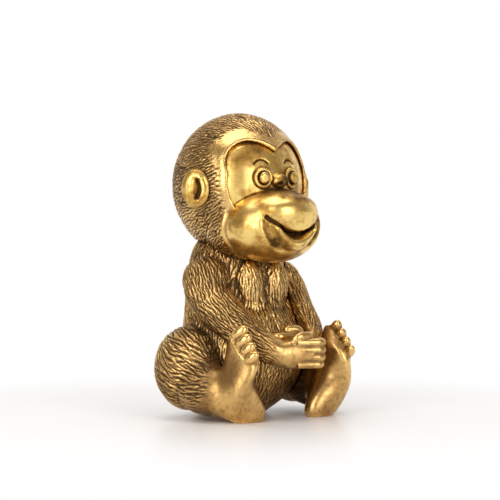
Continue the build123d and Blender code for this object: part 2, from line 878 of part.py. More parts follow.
with BuildPart() as right_arm:
    add(arm_form(right_route, right_hand_plane))
    add(shoulder_dowel(shoulder_seats[0], pin_fit), mode=Mode.SUBTRACT)
    add(wrist_dowel(right_hand_plane, pin_fit), mode=Mode.SUBTRACT)
right_arm.part.label = "right_arm"
export_step(right_arm.part, "parts/right_arm.step")

with BuildPart() as left_arm:
    add(arm_form(left_route, left_hand_plane))
    add(right_arm.part, mode=Mode.SUBTRACT)
    add(shoulder_dowel(shoulder_seats[1], pin_fit), mode=Mode.SUBTRACT)
    add(wrist_dowel(left_hand_plane, pin_fit), mode=Mode.SUBTRACT)
left_arm.part.label = "left_arm"
export_step(left_arm.part, "parts/left_arm.step")

with BuildPart() as right_hand:
    add(hand(wrist_thickness).moved(right_hand_plane.location))
right_hand.part.label = "right_hand"
export_step(right_hand.part, "parts/right_hand.step")

with BuildPart() as left_hand:
    add(mirror(hand(wrist_thickness), about=Plane.XZ, mode=Mode.PRIVATE).moved(left_hand_plane.location))
    for piece in (right_arm, right_hand):
        add(piece.part, mode=Mode.SUBTRACT)
    add(torso_outer, mode=Mode.SUBTRACT)
left_hand.part.label = "left_hand"
export_step(left_hand.part, "parts/left_hand.step")


# Feet: upright, heel on the ground, soles turned in towards each other, toes curled over the sole
heel = by_torso(heel_shares, 0, thigh_height)
inward = Vector(sin(radians(foot_turn)), -cos(radians(foot_turn)), 0)
outward = Vector(-cos(radians(foot_turn)), -sin(radians(foot_turn)), 0)
foot_slant = outward * tan(radians(foot_lean)) - inward * tan(radians(foot_recline))
foot_rise = (Vector(0, 0, 1) + foot_slant).normalized()
foot_across = (outward - foot_rise * outward.dot(foot_rise)).normalized()
sole = foot_rise.cross(foot_across)


def foot_station(share, tilt):
    """Place up the foot, and the directions across and along it where it is cut towards the outer toes."""
    angle = radians(toe_slope * tilt)
    across = foot_across * cos(angle) - foot_rise * sin(angle)
    along = foot_rise * cos(angle) + foot_across * sin(angle)
    return heel + foot_rise * (share * foot_length), across, along


with BuildPart() as foot_form:
    for share, width, instep, pad, tilt in foot_shares:
        point, across, along = foot_station(share, tilt)
        middle = point + sole * ((pad - instep) / 2 * foot_thickness)
        with BuildSketch(Plane(origin=middle, x_dir=across, z_dir=along)):
            oval(width * foot_width, (instep + pad) * foot_thickness)
    loft()
    row_share, _, row_instep, row_pad, row_tilt = foot_shares[-1]
    row_centre, across, along = foot_station(row_share, row_tilt)
    row_centre += sole * ((row_pad - row_instep) / 2 * foot_thickness)
    curl = (sole * toe_curl_share + along).normalized()
    for index, taper in enumerate(toe_taper_shares):
        place = index / (len(toe_taper_shares) - 1) - 0.5
        root = row_centre + across * (place * toe_row_length)
        add(egg(root, root + curl * (toe_length * taper), toe_thickness * taper))
    split(bisect_by=Plane.XY, keep=Keep.TOP)

foot_outer = foot_form.part
shin_route = [by_torso(shares, 0, thigh_height) for shares in shin_shares]
ankle = shin_route[-1]
ankle_direction = (ankle - shin_route[-2]).normalized()
ankle_seat = way_out(foot_outer, ankle, -ankle_direction)[0]


def ankle_dowel(fit):
    return joint_dowel(ankle_seat, ankle_direction, fit)


with BuildPart() as right_foot:
    add(foot_outer)
    add(right_arm.part, mode=Mode.SUBTRACT)
    add(right_hand.part, mode=Mode.SUBTRACT)
    add(ankle_dowel(pin_fit), mode=Mode.SUBTRACT)
right_foot.part.label = "right_foot"
export_step(right_foot.part, "parts/right_foot.step")

with BuildPart() as left_foot:
    mirror(foot_outer, about=Plane.YZ)
    add(left_arm.part, mode=Mode.SUBTRACT)
    add(left_hand.part, mode=Mode.SUBTRACT)
    add(mirror(ankle_dowel(pin_fit), about=Plane.YZ, mode=Mode.PRIVATE), mode=Mode.SUBTRACT)
left_foot.part.label = "left_foot"
export_step(left_foot.part, "parts/left_foot.step")

with BuildPart() as ankle_dowels:
    add(ankle_dowel(0))
    mirror(ankle_dowel(0), about=Plane.YZ)
ankle_dowels.part.label = "ankle_dowels"
export_step(ankle_dowels.part, "parts/ankle_dowels.step")


# Legs: a round haunch against the hip and a short shin that meets the instep
with BuildPart() as right_leg:
    add(ellipsoid(thigh_centre, thigh_width, thigh_depth, thigh_height))
    add(limb(shin_route, [shin_thickness * share for share in shin_taper_shares], ankle_direction))
    add(torso_outer, mode=Mode.SUBTRACT)
    add(foot_outer, mode=Mode.SUBTRACT)
    add(right_arm.part, mode=Mode.SUBTRACT)
    add(hip_dowel(hip_seats[0], pin_fit), mode=Mode.SUBTRACT)
    add(ankle_dowel(pin_fit), mode=Mode.SUBTRACT)
right_leg.part.label = "right_leg"
export_step(right_leg.part, "parts/right_leg.step")

with BuildPart() as left_leg:
    mirror(right_leg.part, about=Plane.YZ)
left_leg.part.label = "left_leg"
export_step(left_leg.part, "parts/left_leg.step")
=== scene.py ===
from math import cos, pi, radians, sin

import bmesh
import bpy
import numpy as np
from mathutils import Matrix, Vector
from mathutils.bvhtree import BVHTree
from mathutils.kdtree import KDTree


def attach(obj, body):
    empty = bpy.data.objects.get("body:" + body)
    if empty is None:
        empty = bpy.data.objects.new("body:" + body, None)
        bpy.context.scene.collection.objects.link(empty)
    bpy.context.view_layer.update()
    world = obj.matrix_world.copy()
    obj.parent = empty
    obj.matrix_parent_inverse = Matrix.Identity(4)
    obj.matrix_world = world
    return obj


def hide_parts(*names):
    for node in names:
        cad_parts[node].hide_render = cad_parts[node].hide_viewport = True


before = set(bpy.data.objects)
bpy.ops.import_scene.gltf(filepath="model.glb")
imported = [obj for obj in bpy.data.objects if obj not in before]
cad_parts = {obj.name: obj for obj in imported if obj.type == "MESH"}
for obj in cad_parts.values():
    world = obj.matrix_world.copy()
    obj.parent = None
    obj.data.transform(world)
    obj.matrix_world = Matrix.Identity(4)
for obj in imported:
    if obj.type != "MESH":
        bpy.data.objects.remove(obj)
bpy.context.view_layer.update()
mm = 0.001


# Torso: hollow brass casting, the largest section. The fur was cut into the wax with a gouge, cast, darkened
# with a brown patina and rubbed back, so the ridges are bright and the cuts stay dark.
def cad_copy(*names):
    """Merged working copy of one or more CAD castings."""
    copy = bmesh.new()
    for node in names:
        copy.from_mesh(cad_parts[node].data)
    bmesh.ops.remove_doubles(copy, verts=copy.verts, dist=0.02 * mm)
    return copy


def stopped(node, plugs):
    """Merged copy of a hollow casting with its openings stopped, so that a mesh over it has no inside."""
    casting = cad_copy(node)
    for centre, radius, height in plugs:
        bmesh.ops.create_cone(
            casting,
            cap_ends=True,
            segments=32,
            radius1=radius * mm,
            radius2=radius * mm,
            depth=height * mm,
            matrix=Matrix.Translation(Vector(centre) * mm),
        )
    return casting


def fine_mesh(name, skin, voxel):
    """New object with an even mesh over a closed skin."""
    rough = bpy.data.meshes.new(name)
    skin.to_mesh(rough)
    skin.free()
    piece = bpy.data.objects.new(name, rough)
    bpy.context.scene.collection.objects.link(piece)
    remesh = piece.modifiers.new("even", "REMESH")
    remesh.mode = "VOXEL"
    remesh.voxel_size = voxel
    remesh.use_smooth_shade = True
    graph = bpy.context.evaluated_depsgraph_get()
    piece_mesh = bpy.data.meshes.new_from_object(piece.evaluated_get(graph))
    piece.modifiers.clear()
    piece.data = piece_mesh
    bpy.data.meshes.remove(rough)
    return piece


def surface(piece):
    """Positions and normals of a piece's vertices."""
    count = len(piece.data.vertices)
    places = np.empty(count * 3, np.float32)
    normals = np.empty(count * 3, np.float32)
    piece.data.vertices.foreach_get("co", places)
    piece.data.vertex_normals.foreach_get("vector", normals)
    return places.reshape(-1, 3).astype(float), normals.reshape(-1, 3).astype(float)


def move_to(piece, places):
    """Moves a piece's vertices and gives their new positions and normals."""
    piece.data.vertices.foreach_set("co", places.astype(np.float32).ravel())
    piece.data.update()
    return surface(piece)


def averaged(piece, values, rounds):
    """Values smoothed over the mesh: each round goes half way to the mean of a vertex's neighbours."""
    edges = np.empty(len(piece.data.edges) * 2, np.int32)
    piece.data.edges.foreach_get("vertices", edges)
    first, second = edges.reshape(-1, 2).T
    count = len(values)
    degree = np.bincount(first, minlength=count) + np.bincount(second, minlength=count)
    columns = values.reshape(count, -1).T.copy()
    for _ in range(rounds):
        for column in columns:
            total = np.bincount(first, column[second], count) + np.bincount(second, column[first], count)
            column[:] = 0.5 * column + 0.5 * total / degree
    return columns.T.reshape(values.shape)


def softened(piece, share, rounds):
    """Positions of a piece's vertices after smoothing only where a share is above zero."""
    places, _ = surface(piece)
    edges = np.empty(len(piece.data.edges) * 2, np.int32)
    piece.data.edges.foreach_get("vertices", edges)
    edges = edges.reshape(-1, 2)
    edges = edges[(share[edges[:, 0]] > 0) | (share[edges[:, 1]] > 0)]
    used, flat = np.unique(edges, return_inverse=True)
    first, second = flat.reshape(-1, 2).T
    count = len(used)
    degree = np.bincount(first, minlength=count) + np.bincount(second, minlength=count)
    part, pull = places[used].T.copy(), 0.6 * share[used]
    for _ in range(rounds):
        for column in part:
            total = np.bincount(first, column[second], count) + np.bincount(second, column[first], count)
            column[:] = column + pull * (total / degree - column)
    places[used] = part.T
    return places


def hollows(piece, rounds):
    """How far each vertex lies below the smoothed surface round it: positive in cuts, negative on ridges."""
    places, normals = surface(piece)
    return np.einsum("ij,ij->i", averaged(piece, places, rounds) - places, normals)


def distance_to(places, node, reach):
    """Distance of points from another CAD piece, up to a reach."""
    tree = BVHTree.FromBMesh(cad_copy(node))
    corners = np.array([vertex.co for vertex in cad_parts[node].data.vertices])
    inside = np.all((places > corners.min(0) - reach) & (places < corners.max(0) + reach), axis=1)
    gaps = np.full(len(places), reach)
    for index in np.flatnonzero(inside):
        found = tree.find_nearest(places[index], reach)
        if found[0] is not None:
            gaps[index] = found[3]
    return gaps


def smooth_step(values, low, high):
    """Soft step from 0 to 1 between two values."""
    share = np.clip((values - low) / (high - low), 0, 1)
    return share * share * (3 - 2 * share)


def cut_fur(places, normals, flow, share, seed, length, gap, width):
    """Depth, 0 to 1, of tapered, slightly wavy gouge cuts, evenly spaced along a flow over the surface."""
    thinning, swing_spread, bend_spread = 0.6, 0.16, 0.05
    rng = np.random.default_rng(seed)
    tree = KDTree(len(places))
    for index, place in enumerate(places):
        tree.insert(place, index)
    tree.balance()
    depth = np.zeros(len(places))
    taken = share < rng.random(len(places)) * thinning
    for index in rng.permutation(len(places)):
        if taken[index]:
            continue
        centre, normal = places[index], normals[index]
        along = flow(centre)
        along = along - normal * along.dot(normal)
        along = along / max(np.linalg.norm(along), 1e-9)
        across = np.cross(normal, along)
        swing = rng.normal(0, swing_spread)
        along, across = along * cos(swing) + across * sin(swing), across * cos(swing) - along * sin(swing)
        reach = length * rng.uniform(0.55, 1.35) / 2
        half = width * rng.uniform(0.75, 1.3) / 2
        bend = rng.normal(0, bend_spread)
        wave, phase = rng.uniform(0.1, 0.32) * gap, rng.uniform(0, 2 * pi)
        force = rng.uniform(0.55, 1.0)
        near = np.array([found[1] for found in tree.find_range(centre, reach)])
        offset = places[near] - centre
        u = offset @ along / reach
        v = offset @ across - bend * reach * u**2 - wave * (np.sin(u * 4 + phase) - sin(phase))
        taper = np.clip(1 - u**2, 0, 1) ** 0.7
        cut = np.exp(-((v / (half * (0.35 + 0.65 * taper))) ** 2)) * taper * force
        depth[near] = np.maximum(depth[near], cut)
        taken[near[(np.abs(v) < gap) & (np.abs(u) < 0.8)]] = True
        taken[index] = True
    return depth * np.clip(share, 0, 1)


def keep(piece, name, values):
    """Keeps a value per vertex on the piece for its material."""
    layer = piece.data.attributes.new(name, "FLOAT", "POINT")
    layer.data.foreach_set("value", np.clip(values, 0, 1).astype(np.float32))


def worn_metal(
    name, bright, middle, dark, bright_roughness, stain, pitting, cloud_scale, grain_scale, grain_height
):
    """Antique metal: bright where rubbed, dark where the kept patina and painted shade run deep, clouded and
    finely grained.
    """
    dark_roughness = 0.62
    material = bpy.data.materials.new(name)
    material.use_nodes = True
    nodes, links = material.node_tree.nodes, material.node_tree.links
    shader = nodes["Principled BSDF"]
    shader.inputs["Metallic"].default_value = 1.0
    place = nodes.new("ShaderNodeTexCoord")
    patina_and_shade = nodes.new("ShaderNodeAttribute")
    patina_and_shade.attribute_name = "patina_and_shade"
    cloud = nodes.new("ShaderNodeTexNoise")
    cloud.inputs["Scale"].default_value = cloud_scale
    cloud.inputs["Detail"].default_value = 6.0
    cloud.inputs["Roughness"].default_value = 0.62
    links.new(place.outputs["Object"], cloud.inputs["Vector"])
    blotch = nodes.new("ShaderNodeMapRange")
    blotch.inputs["From Min"].default_value = 0.4
    blotch.inputs["From Max"].default_value = 0.66
    blotch.inputs["To Min"].default_value = -0.4 * stain
    blotch.inputs["To Max"].default_value = stain
    links.new(cloud.outputs["Fac"], blotch.inputs["Value"])
    clouded = nodes.new("ShaderNodeMath")
    links.new(patina_and_shade.outputs["Fac"], clouded.inputs[0])
    links.new(blotch.outputs["Result"], clouded.inputs[1])
    speck = nodes.new("ShaderNodeTexNoise")
    speck.inputs["Scale"].default_value = 0.6 * grain_scale
    speck.inputs["Detail"].default_value = 3.0
    links.new(place.outputs["Object"], speck.inputs["Vector"])
    pits = nodes.new("ShaderNodeMapRange")
    pits.inputs["From Min"].default_value = 0.5
    pits.inputs["From Max"].default_value = 0.75
    pits.inputs["To Max"].default_value = pitting
    links.new(speck.outputs["Fac"], pits.inputs["Value"])
    tarnish_and_shade = nodes.new("ShaderNodeMath")
    links.new(clouded.outputs["Value"], tarnish_and_shade.inputs[0])
    links.new(pits.outputs["Result"], tarnish_and_shade.inputs[1])
    ramp = nodes.new("ShaderNodeValToRGB")
    ramp.color_ramp.elements[0].position = 0.0
    ramp.color_ramp.elements[0].color = (*bright, 1)
    ramp.color_ramp.elements[1].position = 0.9
    ramp.color_ramp.elements[1].color = (*dark, 1)
    ramp.color_ramp.elements.new(0.4).color = (*middle, 1)
    links.new(tarnish_and_shade.outputs["Value"], ramp.inputs["Fac"])
    links.new(ramp.outputs["Color"], shader.inputs["Base Color"])
    rough = nodes.new("ShaderNodeMapRange")
    rough.inputs["To Min"].default_value = bright_roughness
    rough.inputs["To Max"].default_value = dark_roughness
    links.new(tarnish_and_shade.outputs["Value"], rough.inputs["Value"])
    links.new(rough.outputs["Result"], shader.inputs["Roughness"])
    grain = nodes.new("ShaderNodeTexNoise")
    grain.inputs["Scale"].default_value = grain_scale
    grain.inputs["Detail"].default_value = 4.0
    links.new(place.outputs["Object"], grain.inputs["Vector"])
    bump = nodes.new("ShaderNodeBump")
    bump.inputs["Distance"].default_value = grain_height
    links.new(grain.outputs["Fac"], bump.inputs["Height"])
    links.new(bump.outputs["Normal"], shader.inputs["Normal"])
    return material


fur_brass = worn_metal(
    "fur_brass",
    bright=(0.80, 0.53, 0.195),
    middle=(0.42, 0.245, 0.088),
    dark=(0.10, 0.06, 0.027),
    bright_roughness=0.24,
    stain=0.3,
    pitting=0.24,
    cloud_scale=55,
    grain_scale=900,
    grain_height=0.1 * mm,
)


def seam(places, nodes, reach):
    """Nearness, 0 to 1, to the pieces that a casting meets, where the patina stays."""
    near = np.zeros(len(places))
    for node in nodes:
        near = np.maximum(near, 1 - distance_to(places, node, reach) / reach)
    return near


def thinned(piece, most):
    """Merges triangles where the surface is flattest, until the piece has no more than a given number."""
    count = sum(len(face.vertices) - 2 for face in piece.data.polygons)
    if count <= most:
        return
    thin = piece.modifiers.new("thin", "DECIMATE")
    thin.ratio = most / count
    full = piece.data
    graph = bpy.context.evaluated_depsgraph_get()
    thin_mesh = bpy.data.meshes.new_from_object(piece.evaluated_get(graph))
    piece.modifiers.clear()
    piece.data = thin_mesh
    bpy.data.meshes.remove(full)


def cast_fur(piece, nodes, flow, share, lock, tone, neighbours, seed):
    """Cuts the fur into a piece, keeps its patina and lets it stand for its CAD nodes.

    A lock is the length, spacing and depth of the main cuts. The tone is the patina before any cut.
    """
    in_cuts, in_fine_hollows, in_broad_hollows, in_seams = 0.34, 2.2, 1.1, 0.5
    length, gap, depth = lock
    places, normals = surface(piece)
    locks = cut_fur(places, normals, flow, share, seed, length, gap, 0.85 * gap)
    hairs = cut_fur(places, normals, flow, share, seed + 1, 0.55 * length, 0.65 * gap, 0.5 * gap)
    fur = np.clip(locks + 0.4 * hairs, 0, 1.2)
    meeting = seam(places, neighbours, 2.2 * mm)
    move_to(piece, places - normals * (fur * depth)[:, None])
    fine, broad = hollows(piece, 6) / mm, hollows(piece, 24) / mm
    patina_and_shade = tone + in_cuts * fur + in_fine_hollows * fine + in_broad_hollows * broad + in_seams * meeting**2
    keep(piece, "patina_and_shade", patina_and_shade)
    thinned(piece, most=190000)
    piece.data.materials.append(fur_brass)
    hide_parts(*nodes)
    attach(piece, "root")


def down_the_body(place):
    """Flow of the torso's fur: down, and a little apart from the middle."""
    return np.array((place[0] * 8, place[1] * 3, -1.0))


# The core opening, the neck, and the dowel holes of the shoulders and hips.
torso_plugs = (
    ((0, 5, 4.2), 12.5, 1.6),
    ((0, 3.5, 93), 10.5, 3),
    ((-23.2, -5.2, 67.9), 3.4, 6),
    ((23.4, -4.7, 64.9), 3.4, 6),
    ((-28.2, -2, 25.1), 3.0, 6),
    ((28.2, -2, 25.1), 3.0, 6),
)
torso = fine_mesh("torso", stopped("torso_shell", torso_plugs), voxel=0.41 * mm)
torso_places, torso_normals = move_to(torso, averaged(torso, surface(torso)[0], 14))


def on_front(tree, points):
    """Smooth path over the front of a piece through points given by x and z in millimetres."""
    knots = np.array(points, float)
    steps = np.linspace(0, len(knots) - 1, 12 * len(knots))
    xs, zs = (np.interp(steps, np.arange(len(knots)), knots[:, k]) for k in (0, 1))
    path = []
    for x, z in zip(xs, zs):
        hit = tree.ray_cast(Vector((x * mm, -0.2, z * mm)), Vector((0, 1, 0)))[0]
        if hit is not None:
            path.append(hit)
    return np.array(path)


def near_path(places, path, reach):
    """Distance of points from a path, up to a reach."""
    tree = KDTree(len(path))
    for index, point in enumerate(path):
        tree.insert(point, index)
    tree.balance()
    inside = np.all((places > path.min(0) - reach) & (places < path.max(0) + reach), axis=1)
    gaps = np.full(len(places), reach)
    for index in np.flatnonzero(inside):
        gaps[index] = min(reach, tree.find(places[index])[2])
    return gaps


def line(places, path, width):
    """Strength, 0 to 1, of a line of a given width along a path."""
    return np.exp(-((near_path(places, path, 3 * width) / (width / 2)) ** 2))


torso_tree = BVHTree.FromObject(torso, bpy.context.evaluated_depsgraph_get())
creases = line(torso_places, on_front(torso_tree, ((0, 80), (0, 68), (0, 57))), 3.2 * mm)
for side in (-1, 1):
    under = [(side * x, z) for x, z in ((0.5, 57), (3, 54.2), (8, 52.6), (13, 55), (16, 60), (17, 67))]
    creases = np.maximum(creases, line(torso_places, on_front(torso_tree, under), 3.4 * mm))
crease_depth = 0.8 * mm
torso_places, _ = move_to(torso, torso_places - torso_normals * (crease_depth * creases)[:, None])
chest = np.zeros(len(torso_places))
for side in (-1, 1):
    breast_middle, breast_size = np.array((side * 8.1, -22.0, 64.7)), np.array((8.0, 10.0, 13.0))
    offset = torso_places / mm - breast_middle
    chest = np.maximum(chest, np.exp(-((offset / breast_size) ** 2).sum(1)))
cast_fur(
    torso,
    ["torso_shell"],
    flow=down_the_body,
    share=smooth_step(torso_places[:, 2], 2 * mm, 9 * mm),
    lock=(9.5 * mm, 1.35 * mm, 0.7 * mm),
    tone=0.27 - 0.3 * chest + 0.15 * creases,
    neighbours=["right_arm", "right_leg", "left_leg", "head_shell"],
    seed=11,
)


# Head: hollow brass skull and jaw, pinned on the neck of the torso. The fur was cut in the wax as on the
# torso, and stops at a polished band and a thin bead round the heart-shaped face.
face_middle = np.array((0.0, -31.0, 116.0)) * mm


def away_from_face(place):
    """Flow of the head's fur: away from the face, back and down."""
    return (place - face_middle) / (32 * mm) + np.array((0.0, 0.35, -0.45))


# The neck's socket and the holes of the ears' tenons are stopped. The wall is thin under some cuts, so the
# hollow is filled too, and the mesh can't run inside.
head_plugs = (((0, 3.5, 98.3), 19, 2), ((-25, -10, 112.9), 3.2, 6), ((25, -10, 112.9), 3.2, 6))
head_skin = stopped("head_shell", head_plugs)
hollow_middle = Matrix.Translation(Vector((0, 3.5, 120.5)) * mm)
hollow_size = Matrix.Diagonal((29.7 * mm, 27.2 * mm, 27.2 * mm, 1))
bmesh.ops.create_icosphere(head_skin, subdivisions=5, radius=1.0, matrix=hollow_middle @ hollow_size)
head = fine_mesh("head", head_skin, voxel=0.40 * mm)
head_places, head_normals = move_to(head, averaged(head, surface(head)[0], 12))
from_face = distance_to(head_places, "face_plate", 9 * mm) / mm
from_muzzle = distance_to(head_places, "muzzle", 9 * mm) / mm
from_edge = np.minimum(from_face, from_muzzle + 0.8)
bead_middle = 1.6
face_bead = 0.45 * np.exp(-(((from_face - bead_middle) / 0.9) ** 2))
muzzle_bead = 0.2 * np.exp(-(((from_muzzle - bead_middle) / 0.8) ** 2))
move_to(head, head_places + head_normals * ((face_bead + muzzle_bead) * mm)[:, None])
move_to(head, softened(head, smooth_step(-from_face, -3.4, -2.2), 8))
ragged = np.sin(head_places[:, 2] * 2600) * np.sin(head_places[:, 0] * 1900 + head_places[:, 1] * 2300)
band = 2.6 + 1.8 * smooth_step(head_places[:, 2], 120 * mm, 132 * mm)
head_share = smooth_step((from_edge + ragged - band) / 2.8, 0, 1)
cast_fur(
    head,
    ["head_shell"],
    flow=away_from_face,
    share=head_share,
    lock=(7.5 * mm, 1.15 * mm, 0.6 * mm),
    tone=0.02 + 0.3 * head_share,
    neighbours=["torso_shell", "muzzle", "right_ear", "left_ear"],
    seed=21,
)


# Face: heart-shaped brass plate let into a pocket of the head, filed smooth and polished. The brows are
# incised, the eyes ringed, and the patina stays in the lines. Painted shade darkens the nose and the band
# under the heart's upper edge.
smooth_brass = worn_metal(
    "smooth_brass",
    bright=(0.88, 0.63, 0.21),
    middle=(0.50, 0.285, 0.068),
    dark=(0.085, 0.042, 0.013),
    bright_roughness=0.29,
    stain=0.55,
    pitting=0.1,
    cloud_scale=100,
    grain_scale=1100,
    grain_height=0.03 * mm,
)


def polish(piece, node, neighbours, stain, material):
    """Keeps a smooth piece's patina, with any painted shade given in its stain, and lets it stand for a CAD
    node.
    """
    places, _ = surface(piece)
    meeting = seam(places, neighbours, 1.6 * mm)
    keep(piece, "patina_and_shade", 0.02 + stain + 2.0 * hollows(piece, 14) / mm + 0.9 * meeting**2)
    piece.data.materials.append(material)
    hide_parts(node)
    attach(piece, "root")


def plate_front(x, z):
    """Y of the face plate's front, an egg a little smaller than the skull, in millimetres."""
    egg_y, egg_z = 1, 114.5
    half_width, half_depth, half_height = 32.5, 31, 34.5
    out = 1 - (x / half_width) ** 2 - ((z - egg_z) / half_height) ** 2
    return egg_y - half_depth * np.sqrt(np.clip(out, 0, 1))


face = fine_mesh("face", cad_copy("face_plate"), voxel=0.28 * mm)
face_places, _ = move_to(face, averaged(face, surface(face)[0], 5))
brow_arch = np.array(((5.4, 125.4), (7.0, 126.7), (8.9, 127.0), (10.8, 126.5), (12.4, 125.2)))
knots = np.arange(len(brow_arch))
along = np.linspace(0, 4, 40)
brow_lines = {}
for side in (-1, 1):
    xs = side * np.interp(along, knots, brow_arch[:, 0])
    zs = np.interp(along, knots, brow_arch[:, 1])
    brow_lines[side] = np.column_stack((xs, plate_front(xs, zs), zs)) * mm
brow_zone = np.minimum(*(near_path(face_places, brow_lines[side], 5 * mm) for side in (-1, 1)))
x, y, z = face_places.T / mm
filling = smooth_step(-brow_zone, -2.4 * mm, -1.6 * mm) * (y < -20)
face_places[:, 1] += filling * (plate_front(x, z) * mm - face_places[:, 1])
move_to(face, face_places)
face_places, face_normals = move_to(face, softened(face, smooth_step(-brow_zone, -4.5 * mm, -3 * mm), 40))
from_rim = distance_to(face_places, "head_shell", 6 * mm) / mm
# Painted shade: a band under the heart's upper edge, carved a little deeper and darkened in colour.
cove = np.exp(-((from_rim / 2.6) ** 2)) * smooth_step(face_places[:, 2], 118 * mm, 130 * mm)
brows, nostrils, rings = (np.zeros(len(face_places)) for _ in range(3))
for side, eye in ((-1, "right_eye"), (1, "left_eye")):
    brows = np.maximum(brows, line(face_places, brow_lines[side], 1.25 * mm))
    from_eye = distance_to(face_places, eye, 4 * mm) / mm
    inner_ring = np.exp(-((from_eye / 0.4) ** 2))
    outer_ring = 0.6 * np.exp(-(((from_eye - 2.3) / 0.35) ** 2))
    rings = np.maximum(rings, inner_ring + outer_ring)
    nostril_x, nostril_z = side * 2.0, 114.9
    nostril = np.hypot(face_places[:, 0] / mm - nostril_x, face_places[:, 2] / mm - nostril_z)
    nostrils = np.maximum(nostrils, np.exp(-((nostril / 1.1) ** 2)))
nose_z = 116.0
from_nose = np.hypot(face_places[:, 0] / mm / 1.5, face_places[:, 2] / mm - nose_z)
nose_shade = 0.6 * np.exp(-((from_nose / 5.0) ** 2))
carving = 0.55 * brows + 0.2 * rings + 0.3 * nostrils + 0.6 * cove
face_places = face_places - face_normals * (carving * mm)[:, None]
nose_widening = 0.25 * np.exp(-((from_nose / 3.6) ** 4))
face_places[:, 0] *= 1 + nose_widening
move_to(face, face_places)
# Colour: patina in the brow lines, eye rings and nostrils, plus painted shade round the nose and under the
# heart's upper edge.
face_patina_and_shade = 0.9 * brows + 0.85 * rings + 0.8 * nostrils + nose_shade + 0.45 * cove - 0.08
polish(face, "face_plate", ["head_shell", "muzzle"], face_patina_and_shade, smooth_brass)


# Eyes: turned brass studs with a bright domed tip, pressed into sockets in the face. The tips are polished
# and the patina stays round their edges.
eye_turn = radians(11.5)
for side, node in ((-1, "right_eye"), (1, "left_eye")):
    eye = fine_mesh(node + "_cast", cad_copy(node), voxel=0.13 * mm)
    eye_places, _ = move_to(eye, averaged(eye, surface(eye)[0], 4))
    look = np.array((side * sin(eye_turn), -cos(eye_turn), 0.0))
    eye_middle = np.array((side * 9.0, -29.0, 118.1)) * mm
    offset = eye_places - eye_middle
    from_axis = np.linalg.norm(offset - np.outer(offset @ look, look), axis=1) / mm
    polish(eye, node, [], 0.9 * smooth_step(from_axis, 2.4, 3.2), smooth_brass)


# Muzzle: one smooth brass ball with an overhanging upper lip, dowelled to the head under the face. It is
# It is polished like the face, and painted shade darkens the mouth, the fold of the smile, under the nose
# and the lower muzzle.
cheek_y, cheek_z = -25, 94.5
cheek_half_width, cheek_half_depth, cheek_half_height = 26, 21, 18.5


def upper_lip_edge(x, middle=91.7):
    """Level of the upper lip's edge, which rises to the corners of the mouth, in millimetres."""
    return middle + 8 * (x / 16.5) ** 2


def mouth_lines(places):
    """Levels of the upper lip's edge and the lower lip's middle, and the half width of the smile's fold."""
    x, z = np.abs(places[:, 0]) / mm, places[:, 2] / mm
    fold_levels = (79.5, 81.0, 82.6, 85.4, 89.2, 93.4, 97.6, 100.6)
    fold_half_widths = (0.0, 6.5, 9.6, 13.4, 16.4, 18.2, 18.4, 16.0)
    return upper_lip_edge(x), 84.7 + 8 * (x / 11.5) ** 2, np.interp(z, fold_levels, fold_half_widths)


# The lower lip is a row of balls, largest in the middle, that melt into one roll with the casting.
muzzle_skin = cad_copy("muzzle")
lip_half_width = 15.9
for step in np.linspace(-1, 1, 61):
    lip_x, taper = lip_half_width * step, 1 - step**2
    lip_radius = 0.7 + 1.9 * taper**0.7
    lip_z = upper_lip_edge(lip_x) - 2.3 * taper - lip_radius
    out = 1 - (lip_x / cheek_half_width) ** 2 - ((lip_z - cheek_z) / cheek_half_height) ** 2
    lip_y = cheek_y - cheek_half_depth * out**0.5 + 0.55 * lip_radius
    lip_place = Matrix.Translation(Vector((lip_x, lip_y, lip_z)) * mm)
    bmesh.ops.create_icosphere(muzzle_skin, subdivisions=3, radius=lip_radius * mm, matrix=lip_place)
muzzle = fine_mesh("muzzle_cast", muzzle_skin, voxel=0.36 * mm)
muzzle_places, _ = move_to(muzzle, averaged(muzzle, surface(muzzle)[0], 6))
seat = np.minimum(*(distance_to(muzzle_places, node, 6 * mm) for node in ("head_shell", "face_plate"))) / mm
upper_edge, lip_middle, fold = mouth_lines(muzzle_places)
x, _, z = muzzle_places.T / mm
from_mouth = np.maximum.reduce((z - upper_edge, lip_middle - 2.2 - z, np.abs(x) - 17))
bare_cheek = smooth_step(from_mouth, 0.6, 3.0) * smooth_step(seat, 0.8, 3.5)
muzzle_places, _ = move_to(muzzle, softened(muzzle, bare_cheek, 260))

# The jaw inside the fold of the smile lies deeper than the cheeks. It keeps some patina, and the fold's edge
# gets painted shade.
x, y, z = muzzle_places.T / mm
cheeks = np.sqrt(
    (x / cheek_half_width) ** 2
    + ((y - cheek_y) / cheek_half_depth) ** 2
    + ((z - cheek_z) / cheek_half_height) ** 2
)
lip_half_size, upper_lip_y, upper_lip_z = (19, 15.5, 10.5), -33, 101.5
upper_lip = np.sqrt(
    (x / lip_half_size[0]) ** 2
    + ((y - upper_lip_y) / lip_half_size[1]) ** 2
    + ((z - upper_lip_z) / lip_half_size[2]) ** 2
)
depth_in = (1 - np.minimum(cheeks, upper_lip)) * 19
in_front = smooth_step(-y, 26, 30)
on_lip = np.exp(-(((z - lip_middle - 0.8) / 3.2) ** 4)) * smooth_step(-np.abs(x), -15.5, -12)
jaw = smooth_step(fold - np.abs(x), -1.4, 3.4) * smooth_step(z, 80.5, 88) * (z < upper_edge + 0.3)
jaw = jaw * (1 - 0.9 * on_lip) * smooth_step(-depth_in, -3.0, -1.0) * in_front
jaw_recess = 2.6 * mm
move_to(muzzle, muzzle_places + np.outer(jaw, (0, jaw_recess, 0)))
around_jaw = smooth_step(-from_mouth, -4.0, -2.0) * in_front
muzzle_places, muzzle_normals = move_to(muzzle, softened(muzzle, around_jaw, 14))
muzzle_tree = BVHTree.FromObject(muzzle, bpy.context.evaluated_depsgraph_get())
parting = np.zeros(len(muzzle_places))
